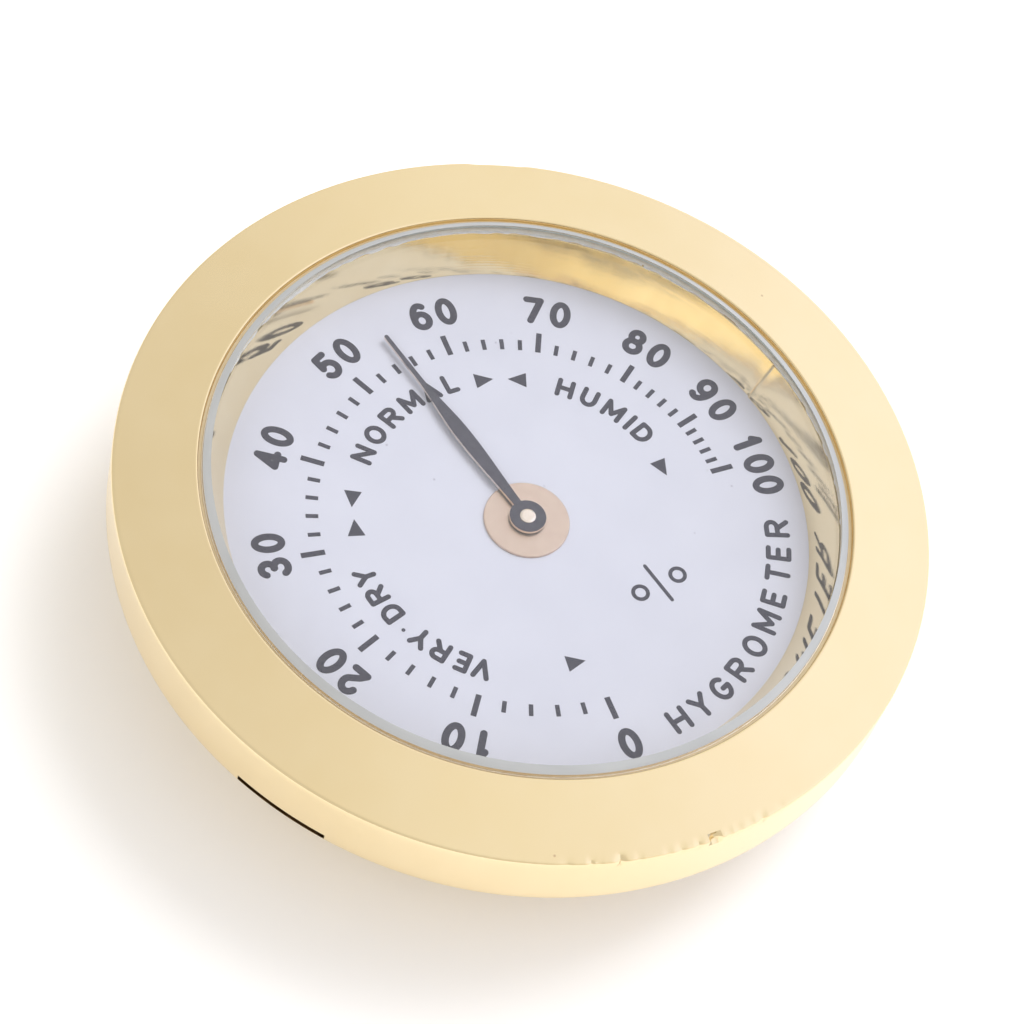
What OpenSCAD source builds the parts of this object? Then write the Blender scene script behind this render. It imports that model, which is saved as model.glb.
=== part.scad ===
// Dial hygrometer for flush mounting in a round hole.
// The face looks along +Z, twelve o'clock on the dial is +Y, and the origin is
// on the case axis in the plane where the flange seats on a panel.

/* [Bezel] */
// Outer radius of the bezel flange
bezel_r = 18.5; // [17.5:0.1:22]
// Height of the bezel's straight side wall
bezel_side = 3.27; // [2.9:0.01:4]
// Rise of the conical face from its outer edge to the lip
face_rise = 0.55; // [0.3:0.05:1]
// Radius of the opening that the glass sits in
opening_r = 14.62; // [14.5:0.02:14.7]
// Width of the groove between the lip and the glass's seat
groove_width = 0.16; // [0.12:0.01:0.3]
// Depth of that groove below the lip
groove_depth = 0.28; // [0.15:0.01:0.5]
// Rounding of the front and rear outer edges
edge_round = 0.12; // [0.05:0.01:0.3]
// Width of the pry slot in the side wall
pry_width = 4.5; // [2:0.5:8]
// Height of the pry slot
pry_height = 0.3; // [0.2:0.05:1]
// Thickness of the ledge between the pry slot and the rear face
pry_ledge = 0.15; // [0.15:0.05:0.5]
// Place of the pry slot, anticlockwise from three o'clock
pry_angle = 169; // [0:1:359]

/* [Case cup] */
// Outer radius of the barrel that goes into the panel
barrel_r = 14; // [13.9:0.05:14.3]
// Wall thickness of the barrel
barrel_wall = 0.6; // [0.4:0.05:0.65]
// Depth of the barrel behind the seat plane
barrel_depth = 6.4; // [6.4:0.1:9]

/* [Window] */
// Thickness of the flat glass
lens_t = 0.95; // [0.8:0.05:1.1]
// Height of the glass's flat top above the lip
lens_proud = 0.13; // [0:0.01:0.2]
// Width of the ground bevel round the glass's top
bevel_width = 0.35; // [0.2:0.01:0.4]
// Height of that bevel
bevel_height = 0.21; // [0.1:0.01:0.3]

/* [Dial] */
// Radius of the dial that shows inside the reflector ring
window_r = 13.4; // [12.5:0.1:13.5]
// Height of the dial face above the seat plane
dial_z = 0.8; // [0.75:0.05:1]
// Thickness of the dial plate
dial_t = 0.4; // [0.3:0.05:0.45]
// Sideways play of the dial unit in the case, along X
dial_shift_x = -0.23; // [-0.4:0.01:0.4]
// Sideways play of the dial unit in the case, along Y
dial_shift_y = -0.39; // [-0.4:0.01:0.4]

/* [Pointer] */
// Length of the pointer from the arbor to its tip
pointer_len = 11.36; // [9:0.1:11.6]
// Thickness of the pointer
pointer_t = 0.14; // [0.1:0.01:0.2]
// Outer radius of the pointer's ring
pointer_ring_r = 0.84; // [0.7:0.02:1.2]
// Pointer angle at rest, clockwise from twelve o'clock: about 55 percent
pointer_rest = 31.5; // [-134.5:0.5:134.5]

/* [Movement] */
// Radius of the arbor
arbor_r = 0.37; // [0.3:0.01:0.4]
// Radius of the arbor's rear pivot
pivot_r = 0.22; // [0.18:0.01:0.28]
// Radial running clearance of every bearing
run_gap = 0.05; // [0.02:0.01:0.08]
// Radius of the round front bush that shows on the dial
bush_r = 1.97; // [1.6:0.01:2.5]
// Number of turns of the humidity coil
coil_turns = 6; // [4:1:8]
// Width of the coil strip, along the axis
coil_width = 2; // [1.5:0.1:2]
// Thickness of the coil strip
coil_t = 0.18; // [0.1:0.01:0.25]
// Radius at which the coil's outer end is held
stud_place_r = 7.3; // [6.5:0.1:7.5]
// Radius at which the bridge pillars stand
pillar_place_r = 10.2; // [9.6:0.1:10.6]
// Swing of the calibration lever each way
calibration_swing = 25; // [5:1:25]

/* [Back cover] */
// Thickness of the back cover
cover_t = 0.5; // [0.4:0.05:0.6]
// Number of vent holes
vent_count = 16; // [8:1:24]
// Radius of each vent hole
vent_r = 0.75; // [0.4:0.05:0.9]

/* [Hidden] */
$fn = 120;

// Colours
gold = [0.90, 0.78, 0.55];
polished_gold = [0.92, 0.76, 0.42];
brass = [0.80, 0.66, 0.38];
rose_brass = [0.89, 0.76, 0.66];
steel = [0.72, 0.73, 0.75];

// Heights along the axis, from the lip down to the back
lip_z = bezel_side + face_rise;
lens_top = lip_z + lens_proud;
lens_bottom = lens_top - lens_t;
adhesive_t = 0.05;
seat_z = lens_bottom - adhesive_t;
seat_back = seat_z - 0.17;
reflector_top = seat_back - 0.02;
dial_back = dial_z - dial_t;
base_t = 0.35;
base_back = dial_back - base_t;
cup_rim_t = dial_back;
bridge_front = -3.6;
bridge_t = 0.6;
bridge_back = bridge_front - bridge_t;
washer_gap = 0.25;
lever_front = bridge_back - washer_gap;
lever_t = 0.5;
lever_back = lever_front - lever_t;
clip_front = lever_back - 0.05;
clip_t = 0.15;
clip_back = clip_front - clip_t;
boss_end = clip_back - 0.2;
cover_front = cover_t - barrel_depth;

// Bezel and case
press_gap = 0.05;
lip_round = 0.08;
counterbore_r = 15.3;
counterbore_top = 1.2;
pry_depth = 1.1;
barrel_bore = barrel_r - barrel_wall;
lower_bore_r = 14.8;
lens_r = opening_r - press_gap;
lens_chamfer = 0.05;
seat_inner_r = 14.24;
seat_edge_t = 0.04;
reflector_top_r = 14.35;
reflector_r = lower_bore_r - press_gap;
seam_gap = 0.05;
seam_angle = -32;
dial_r = 14.3;

// Bearings and bushes
bush_flange_t = 0.14;
bush_tube_r = 1.2;
bush_rivet_r = 1.55;
bush_rivet_t = 0.35;
bush_bore = arbor_r + run_gap;
seat_r = 0.9;
boss_r = 1.2;
groove_r = 1;
pivot_bore = pivot_r + run_gap;
pointer_z = dial_z + bush_flange_t + 0.12;
arbor_top = pointer_z + pointer_t + 0.08;
arbor_tip_chamfer = 0.07;
arbor_shoulder = bridge_front + 0.2;
pivot_end = clip_back;
collar_r = 0.8;
collar_front = base_back - bush_rivet_t - 0.15;
collar_t = 0.25;

// Coil, collet and stud
coil_front = -1;
coil_back = coil_front - coil_width;
collet_r = 1.1;
coil_start_r = collet_r;
stud_r = 0.4;
coil_end_r = stud_place_r - stud_r - coil_t;
coil_pitch = (coil_end_r - coil_start_r) / coil_turns;
stud_angle = 30;

// Bridge, pillars, screws and lever
pillar_r = 0.75;
pillar_rivet_r = 0.45;
pillar_angles = [90, 210, 330];
base_r = 12.4;
tap_r = 0.35;
tap_depth = 1.8;
screw_hole_r = 0.42;
screw_head_r = 0.8;
screw_head_t = 0.5;
slot_width = 0.22;
slot_depth = 0.22;
bridge_hub_r = 2.8;
bridge_pad_r = 1.3;
arm_width = 1.6;
lever_hub_r = 2.6;
lever_bore = boss_r + run_gap;
adjuster_place_r = 8;
adjuster_angle = stud_angle + 180;
adjuster_r = 0.7;
adjuster_end = 0.25 - barrel_depth;
cover_slot_half_width = 1.1;
cover_slot_swing = calibration_swing + 3;
skirt_h = 1;
skirt_t = 0.6;
vent_ring_r = 11;
gauze_t = 0.1;
gauze_inner_r = 9.6;
gauze_outer_r = 12.5;

// Distance along an outline that is too small to matter, for clean cuts
past = 0.5;

// A flat ring from height low to height high
module ring(outer, inner, low, high) {
    translate([0, 0, low])
        difference() {
            cylinder(r = outer, h = high - low);
            translate([0, 0, -past]) cylinder(r = inner, h = high - low + 2 * past);
        }
}

// A disc or pin from height low to height high
module disc(r, low, high) {
    translate([0, 0, low]) cylinder(r = r, h = high - low);
}

// Moves its children onto the axis of the dial unit, which can sit off the case axis
module on_dial_axis() {
    translate([dial_shift_x, dial_shift_y, 0]) children();
}

// Puts its children at a distance and an angle from the axis
module at_polar(distance, angle) {
    rotate([0, 0, angle]) translate([distance, 0, 0]) children();
}

// A bar of given width with round ends, from the axis out to a distance
module bar_outline(length, width) {
    translate([0, -width / 2]) square([length, width]);
    translate([length, 0]) circle(r = width / 2);
}

// Points of a quarter round between two compass directions
function quarter(centre, radius, from, to, steps = 6) =
    [for (i = [0 : steps])
        let (a = from + (to - from) * i / steps)
        centre + radius * [cos(a), sin(a)]];

module bezel_ring() {
    rear_round = [bezel_r - edge_round, edge_round];
    front_round = [bezel_r - edge_round, bezel_side - edge_round];
    lip_centre = [opening_r + groove_width + lip_round, lip_z - lip_round];
    profile = concat(
        [[counterbore_r, 0]],
        quarter(rear_round, edge_round, -90, 0),
        quarter(front_round, edge_round, 0, 80),
        quarter(lip_centre, lip_round, 90, 180, 4),
        [[opening_r + groove_width, lip_z - groove_depth],
         [opening_r, lip_z - groove_depth],
         [opening_r, seat_z],
         [seat_inner_r, seat_z],
         [seat_inner_r, seat_z - seat_edge_t],
         [lower_bore_r, seat_back],
         [lower_bore_r, counterbore_top],
         [counterbore_r, counterbore_top]]);
    color(gold)
        difference() {
            rotate_extrude() polygon(profile);
            at_polar(bezel_r - pry_depth, pry_angle)
                translate([0, -pry_width / 2, pry_ledge])
                    cube([pry_depth + past, pry_width, pry_height]);
        }
}

module case_cup() {
    color(gold)
        difference() {
            union() {
                disc(counterbore_r, 0, cup_rim_t);
                disc(barrel_r, -barrel_depth, cup_rim_t);
            }
            disc(barrel_bore, -barrel_depth - past, cup_rim_t + past);
        }
}

module lens() {
    edge = lens_r - lens_chamfer;
    profile = [[0, lens_bottom], [edge, lens_bottom], [lens_r, lens_bottom + lens_chamfer],
               [lens_r, lens_top - bevel_height], [lens_r - bevel_width, lens_top], [0, lens_top]];
    color([0.82, 0.88, 0.86, 0.3]) rotate_extrude() polygon(profile);
}

module lens_adhesive() {
    color("white") ring(lens_r - lens_chamfer, seat_inner_r + 0.03, seat_z, lens_bottom);
}

module reflector_ring() {
    profile = [[window_r, dial_z], [reflector_r, dial_z],
               [reflector_r, reflector_top], [reflector_top_r, reflector_top]];
    color(polished_gold)
        difference() {
            rotate_extrude() polygon(profile);
            rotate([0, 0, seam_angle])
                translate([window_r - 1, -seam_gap / 2, dial_z - past])
                    cube([3, seam_gap, reflector_top - dial_z + 2 * past]);
        }
}

module dial_plate() {
    color("white") on_dial_axis() ring(dial_r, bush_tube_r, dial_back, dial_z);
}

module dial_bush() {
    color(rose_brass)
        on_dial_axis()
            difference() {
                union() {
                    disc(bush_r, dial_z, dial_z + bush_flange_t);
                    disc(bush_tube_r, base_back, dial_z);
                    disc(bush_rivet_r, base_back - bush_rivet_t, base_back);
                }
                disc(bush_bore, base_back - bush_rivet_t - past, dial_z + past);
            }
}

module base_plate() {
    color(brass)
        on_dial_axis()
            difference() {
                ring(base_r, bush_tube_r, base_back, dial_back);
                for (a = pillar_angles)
                    at_polar(pillar_place_r, a)
                        disc(pillar_rivet_r, base_back - past, dial_back + past);
            }
}

module bridge_pillars() {
    color(brass)
        on_dial_axis()
            for (a = pillar_angles)
                at_polar(pillar_place_r, a)
                    difference() {
                        union() {
                            disc(pillar_r, bridge_front, base_back);
                            disc(pillar_rivet_r, base_back, dial_back);
                        }
                        disc(tap_r, bridge_front - past, bridge_front + tap_depth);
                    }
}

module bridge() {
    color(brass)
        on_dial_axis()
            difference() {
                translate([0, 0, bridge_back])
                    linear_extrude(bridge_t) {
                        circle(r = bridge_hub_r);
                        for (a = pillar_angles)
                            rotate([0, 0, a]) {
                                bar_outline(pillar_place_r, arm_width);
                                translate([pillar_place_r, 0]) circle(r = bridge_pad_r);
                            }
                    }
                disc(seat_r, bridge_back - past, bridge_front + past);
                for (a = pillar_angles)
                    at_polar(pillar_place_r, a)
                        disc(screw_hole_r, bridge_back - past, bridge_front + past);
            }
}

module bridge_screws() {
    head_end = bridge_back - screw_head_t;
    color(steel)
        on_dial_axis()
            for (a = pillar_angles)
                at_polar(pillar_place_r, a)
                    difference() {
                        union() {
                            disc(tap_r, bridge_back, bridge_front + tap_depth - 0.2);
                            disc(screw_head_r, head_end, bridge_back);
                        }
                        rotate([0, 0, 40 + a])
                            translate([-screw_head_r - past, -slot_width / 2, head_end - past])
                                cube([2 * (screw_head_r + past), slot_width, slot_depth + past]);
                    }
}

module rear_bush() {
    color(brass)
        on_dial_axis()
            difference() {
                union() {
                    disc(seat_r, bridge_back, bridge_front);
                    disc(boss_r, boss_end, bridge_back);
                }
                disc(pivot_bore, boss_end - past, bridge_front + past);
                ring(boss_r + past, groove_r, clip_back, clip_front);
            }
}

module friction_washer() {
    washer_t = 0.12;
    inner = boss_r + run_gap;
    outer = lever_hub_r - 0.2;
    profile = [[inner, lever_front], [inner + washer_t, lever_front],
               [outer, bridge_back - washer_t], [outer, bridge_back],
               [outer - washer_t, bridge_back], [inner, lever_front + washer_t]];
    color(steel) on_dial_axis() rotate_extrude() polygon(profile);
}

module retaining_clip() {
    clip_outer = 2.1;
    clip_mouth = 1.5;
    color(steel)
        on_dial_axis()
            difference() {
                ring(clip_outer, groove_r, clip_back, clip_front);
                rotate([0, 0, stud_angle + 90])
                    translate([0, -clip_mouth / 2, clip_back - past])
                        cube([clip_outer + past, clip_mouth, clip_t + 2 * past]);
            }
}

module calibration_lever() {
    color(brass)
        on_dial_axis()
            difference() {
                translate([0, 0, lever_back])
                    linear_extrude(lever_t) {
                        circle(r = lever_hub_r);
                        rotate([0, 0, stud_angle]) bar_outline(stud_place_r, arm_width);
                        rotate([0, 0, adjuster_angle]) bar_outline(adjuster_place_r, 2);
                    }
                disc(lever_bore, lever_back - past, lever_front + past);
                at_polar(stud_place_r, stud_angle) disc(stud_r, lever_back - past, lever_front + past);
                at_polar(adjuster_place_r, adjuster_angle)
                    disc(stud_r, lever_back - past, lever_front + past);
            }
}

module adjuster_stud() {
    color(steel)
        on_dial_axis()
            at_polar(adjuster_place_r, adjuster_angle)
                difference() {
                    union() {
                        disc(stud_r, lever_back, lever_front);
                        disc(adjuster_r, adjuster_end, lever_back);
                    }
                    translate([-slot_width / 2, -adjuster_r - past, adjuster_end - past])
                        cube([slot_width, 2 * (adjuster_r + past), slot_depth + past]);
                }
}

module coil_stud() {
    color(steel) on_dial_axis() at_polar(stud_place_r, stud_angle) disc(stud_r, lever_back, coil_front + 0.2);
}

module humidity_coil() {
    steps_per_turn = 36;
    steps = coil_turns * steps_per_turn;
    start = stud_angle - 360 * coil_turns;
    inner_side = [for (i = [0 : steps])
        let (a = start + 360 * coil_turns * i / steps, r = coil_start_r + coil_pitch * i / steps_per_turn)
        r * [cos(a), sin(a)]];
    outer_side = [for (i = [steps : -1 : 0])
        let (a = start + 360 * coil_turns * i / steps, r = coil_start_r + coil_t + coil_pitch * i / steps_per_turn)
        r * [cos(a), sin(a)]];
    color([0.78, 0.70, 0.55])
        on_dial_axis()
            translate([0, 0, coil_back])
                linear_extrude(coil_width) polygon(concat(inner_side, outer_side));
}

module coil_collet() {
    color(brass) on_dial_axis() ring(collet_r, arbor_r, coil_back - 0.05, coil_front + 0.05);
}

module arbor() {
    color(rose_brass)
        on_dial_axis() {
            disc(arbor_r, arbor_shoulder, arbor_top - arbor_tip_chamfer);
            translate([0, 0, arbor_top - arbor_tip_chamfer])
                cylinder(r1 = arbor_r, r2 = arbor_r - 1.6 * arbor_tip_chamfer, h = arbor_tip_chamfer);
            disc(collar_r, collar_front - collar_t, collar_front);
            disc(pivot_r, pivot_end, arbor_shoulder);
        }
}

// Half the pointer's width at a distance from the arbor: a slim neck, a belly and a needle end
function eased(x) = (1 - cos(180 * min(max(x, 0), 1))) / 2;
function pointer_half_width(s) =
    let (neck = 0.2, belly = 0.37, needle = 0.12, tip = 0.1, belly_at = 4.9, needle_at = 8.8)
    s < belly_at ? neck + (belly - neck) * eased(s / belly_at)
    : s < needle_at ? belly + (needle - belly) * eased((s - belly_at) / (needle_at - belly_at))
    : needle + (tip - needle) * (s - needle_at) / (pointer_len - needle_at);

module pointer() {
    steps = 24;
    blade_start = 0.5 * (arbor_r + pointer_ring_r);
    stations = [for (i = [0 : steps]) blade_start + (pointer_len - blade_start) * i / steps];
    left = [for (s = stations) [s, pointer_half_width(s)]];
    right = [for (i = [steps : -1 : 0]) [stations[i], -pointer_half_width(stations[i])]];
    color([0.16, 0.16, 0.19])
        on_dial_axis()
            rotate([0, 0, 90 - pointer_rest]) {
                ring(pointer_ring_r, arbor_r, pointer_z, pointer_z + pointer_t);
                translate([0, 0, pointer_z]) linear_extrude(pointer_t) polygon(concat(left, right));
            }
}

// A curved slot with round ends for a screwdriver
module cover_slot_outline() {
    steps = 16;
    half = cover_slot_half_width;
    outer_arc = [for (i = [0 : steps])
        let (a = -cover_slot_swing + 2 * cover_slot_swing * i / steps)
        (adjuster_place_r + half) * [cos(a), sin(a)]];
    inner_arc = [for (i = [steps : -1 : 0])
        let (a = -cover_slot_swing + 2 * cover_slot_swing * i / steps)
        (adjuster_place_r - half) * [cos(a), sin(a)]];
    far_end = [for (t = [20 : 20 : 160])
        adjuster_place_r * [cos(cover_slot_swing), sin(cover_slot_swing)]
        + half * [cos(cover_slot_swing + t), sin(cover_slot_swing + t)]];
    near_end = [for (t = [200 : 20 : 340])
        adjuster_place_r * [cos(cover_slot_swing), -sin(cover_slot_swing)]
        + half * [cos(t - cover_slot_swing), sin(t - cover_slot_swing)]];
    rotate([0, 0, adjuster_angle]) polygon(concat(outer_arc, far_end, inner_arc, near_end));
}

module back_cover() {
    color(gold)
        difference() {
            union() {
                disc(barrel_bore, -barrel_depth, cover_front);
                ring(barrel_bore, barrel_bore - skirt_t, cover_front, cover_front + skirt_h);
            }
            for (i = [0 : vent_count - 1])
                at_polar(vent_ring_r, (i + 0.5) * 360 / vent_count)
                    disc(vent_r, -barrel_depth - past, cover_front + past);
            on_dial_axis()
                translate([0, 0, -barrel_depth - past])
                    linear_extrude(cover_t + 2 * past) cover_slot_outline();
        }
}

module vent_gauze() {
    color([0.55, 0.55, 0.52]) ring(gauze_outer_r, gauze_inner_r, cover_front, cover_front + gauze_t);
}

bezel_ring();
case_cup();
lens();
lens_adhesive();
reflector_ring();
dial_plate();
dial_bush();
base_plate();
bridge_pillars();
bridge();
bridge_screws();
rear_bush();
friction_washer();
retaining_clip();
calibration_lever();
adjuster_stud();
coil_stud();
humidity_coil();
coil_collet();
arbor();
pointer();
back_cover();
vent_gauze();
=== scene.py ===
"""Visual model of a dial hygrometer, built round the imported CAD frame.

Sizes are in millimetres until a mesh is made.
"""

import math

import bmesh
import bpy
from mathutils import Matrix, Vector, noise


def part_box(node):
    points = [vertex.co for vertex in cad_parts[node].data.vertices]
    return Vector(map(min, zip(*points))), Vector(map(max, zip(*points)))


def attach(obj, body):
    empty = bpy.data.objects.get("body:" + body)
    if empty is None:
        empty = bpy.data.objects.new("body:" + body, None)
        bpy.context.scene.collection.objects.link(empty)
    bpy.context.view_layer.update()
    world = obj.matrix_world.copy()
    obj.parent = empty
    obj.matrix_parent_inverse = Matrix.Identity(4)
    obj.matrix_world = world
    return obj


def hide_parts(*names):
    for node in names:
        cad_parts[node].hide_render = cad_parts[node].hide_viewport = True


MM = 0.001
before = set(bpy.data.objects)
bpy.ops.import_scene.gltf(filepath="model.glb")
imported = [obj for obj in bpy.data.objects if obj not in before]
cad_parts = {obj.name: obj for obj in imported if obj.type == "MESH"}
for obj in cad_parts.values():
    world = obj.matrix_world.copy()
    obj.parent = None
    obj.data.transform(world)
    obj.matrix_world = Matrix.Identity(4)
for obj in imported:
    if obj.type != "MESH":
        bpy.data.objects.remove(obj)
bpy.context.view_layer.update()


def low_z(node):
    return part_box(node)[0].z / MM


def high_z(node):
    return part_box(node)[1].z / MM


def middle(node):
    low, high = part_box(node)
    return (low.x + high.x) / 2 / MM, (low.y + high.y) / 2 / MM


# Places along the axis, read from the CAD nodes
LIP_Z = high_z("bezel_ring")
GLASS_LOW, GLASS_HIGH = low_z("lens"), high_z("lens")
RING_LOW, RING_HIGH = low_z("reflector_ring"), high_z("reflector_ring")
DIAL_Z = high_z("dial_plate")
BUSH_HIGH = high_z("dial_bush")
POINTER_LOW, POINTER_HIGH = low_z("pointer"), high_z("pointer")
ARBOR_HIGH = high_z("arbor")
BACK_Z = low_z("back_cover")
DIAL_X, DIAL_Y = middle("dial_bush")

# Radii and heights that the CAD's plan sets
BEZEL_R = 18.5
SIDE_H = 3.27
OPENING_R = 14.62
LIP_R = 14.78
GROOVE_Z = LIP_Z - 0.28
LOWER_BORE_R = 14.8
RECESS_R = 15.3
RECESS_Z = 1.2
GLASS_R = 14.57
BEVEL_W = 0.35
BEVEL_H = 0.21
RING_LOW_R = 13.4
RING_HIGH_R = 14.35
SEAT_R = 14.24
SEAT_Z = GLASS_LOW - 0.05
RING_R = 14.75
RING_SEAM = -32
SLOT_ANGLE = 169
SLOT_DEPTH = 1.1
SLOT_WIDTH = 4.5
SLOT_LOW, SLOT_HIGH = 0.15, 0.45
BUSH_R = 1.97
ARBOR_R = 0.37
POINTER_REST = 31.5
POINTER_LENGTH = 11.36


# ---------------------------------------------------------------- mesh helpers


def smooth_step(x):
    """Goes from 0 to 1 with no corners as x goes from 0 to 1."""
    x = min(max(x, 0.0), 1.0)
    return (1 - math.cos(math.pi * x)) / 2


def mesh_object(name, points, faces):
    """A smooth-shaded mesh object from points in millimetres."""
    mesh = bpy.data.meshes.new(name)
    mesh.from_pydata([(x * MM, y * MM, z * MM) for x, y, z in points], [], faces)
    mesh.validate()
    mesh.polygons.foreach_set("use_smooth", [True] * len(mesh.polygons))
    mesh.update()
    obj = bpy.data.objects.new(name, mesh)
    bpy.context.scene.collection.objects.link(obj)
    return obj


def rounded_path(corners, closed, steps=5):
    """Points of a path whose corners (x, y, radius, slot) are rounded.

    Each point carries the material slot of the stretch after it.
    """
    count = len(corners)
    path = []
    for i, (x, y, radius, slot) in enumerate(corners):
        here = Vector((x, y))
        ends = not closed and i in (0, count - 1)
        if radius <= 0 or ends:
            path.append((here, slot))
            continue
        before = Vector(corners[i - 1][:2]) - here
        after = Vector(corners[(i + 1) % count][:2]) - here
        into, out = before.normalized(), after.normalized()
        half = math.acos(max(-1, min(1, into.dot(out)))) / 2
        cut = radius / math.tan(half)
        start, stop = here + into * cut, here + out * cut
        centre = here + (into + out).normalized() * radius / math.sin(half)
        pad = 0.6 * radius
        slot_before = corners[i - 1][3]
        if cut + pad < before.length * 0.5:
            path.append((start + into * pad, slot_before))
        first, last = start - centre, stop - centre
        turn = first.angle_signed(last)
        for k in range(steps + 1):
            spin = Matrix.Rotation(-turn * k / steps, 2)
            path.append((centre + spin @ first, slot_before if k < steps / 2 else slot))
        if cut + pad < after.length * 0.5:
            path.append((stop + out * pad, slot))
    return path


def turned(name, corners, closed, segments=360, shape=None, centre=(0, 0), arc=(0, 360)):
    """A piece turned about the axis. shape(radius, z, angle) may move a point off the true round."""
    path = rounded_path(corners, closed)
    whole = arc[1] - arc[0] == 360
    rings = segments if whole else segments + 1
    angles = [math.radians(arc[0] + (arc[1] - arc[0]) * i / segments) for i in range(rings)]
    points, faces, slots, index = [], [], [], []
    for point, _ in path:
        row = []
        if abs(point.x) < 1e-9:
            points.append((centre[0], centre[1], point.y))
            row = [len(points) - 1] * rings
        else:
            for angle in angles:
                radius, z = shape(point.x, point.y, angle) if shape else (point.x, point.y)
                across, up = radius * math.cos(angle), radius * math.sin(angle)
                points.append((centre[0] + across, centre[1] + up, z))
                row.append(len(points) - 1)
        index.append(row)
    spans = len(path) if closed else len(path) - 1
    for k in range(spans):
        low, high = index[k], index[(k + 1) % len(path)]
        for i in range(segments):
            j = (i + 1) % rings
            ring = [low[i], low[j], high[j], high[i]]
            ring = [p for n, p in enumerate(ring) if p != ring[n - 1]]
            faces.append(ring)
            slots.append(path[k][1])
    if not whole:
        for i in (0, segments):
            cap = [row[i] for row in index]
            faces.append(cap if i else cap[::-1])
            slots.append(path[0][1])
    obj = mesh_object(name, points, faces)
    outward(obj)
    obj.data.polygons.foreach_set("material_index", slots)
    return obj


def flat_ring(name, inner, outer, low, high):
    """A ring with a rectangular section."""
    corners = [(inner, low, 0, 0), (outer, low, 0, 0), (outer, high, 0, 0), (inner, high, 0, 0)]
    return turned(name, corners, True)


def outward(obj):
    """Turns every face of a closed mesh to look outwards."""
    work = bmesh.new()
    work.from_mesh(obj.data)
    bmesh.ops.recalc_face_normals(work, faces=work.faces)
    work.to_mesh(obj.data)
    work.free()


def plate(work, outline, low, high, place=Matrix.Identity(4)):
    """Adds a flat plate with this outline, in millimetres, to a bmesh."""
    bottom = [work.verts.new(place @ Vector((x, y, low))) for x, y in outline]
    top = [work.verts.new(place @ Vector((x, y, high))) for x, y in outline]
    work.faces.new(bottom[::-1])
    work.faces.new(top)
    for i in range(len(outline)):
        j = (i + 1) % len(outline)
        work.faces.new((bottom[i], bottom[j], top[j], top[i]))


def from_bmesh(name, work):
    """Ends a bmesh whose points are in millimetres as a flat-shaded object."""
    bmesh.ops.recalc_face_normals(work, faces=work.faces)
    bmesh.ops.scale(work, vec=(MM, MM, MM), verts=work.verts)
    mesh = bpy.data.meshes.new(name)
    work.to_mesh(mesh)
    work.free()
    mesh.polygons.foreach_set("use_smooth", [False] * len(mesh.polygons))
    obj = bpy.data.objects.new(name, mesh)
    bpy.context.scene.collection.objects.link(obj)
    return obj


def bevel(obj, width):
    """Soft edges where faces meet sharply."""
    mod = obj.modifiers.new("soft_edges", "BEVEL")
    mod.width = width * MM
    mod.segments = 2
    mod.limit_method = "ANGLE"
    mod.angle_limit = math.radians(30)
    mod.harden_normals = True


# ------------------------------------------------------------ material helpers


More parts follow.
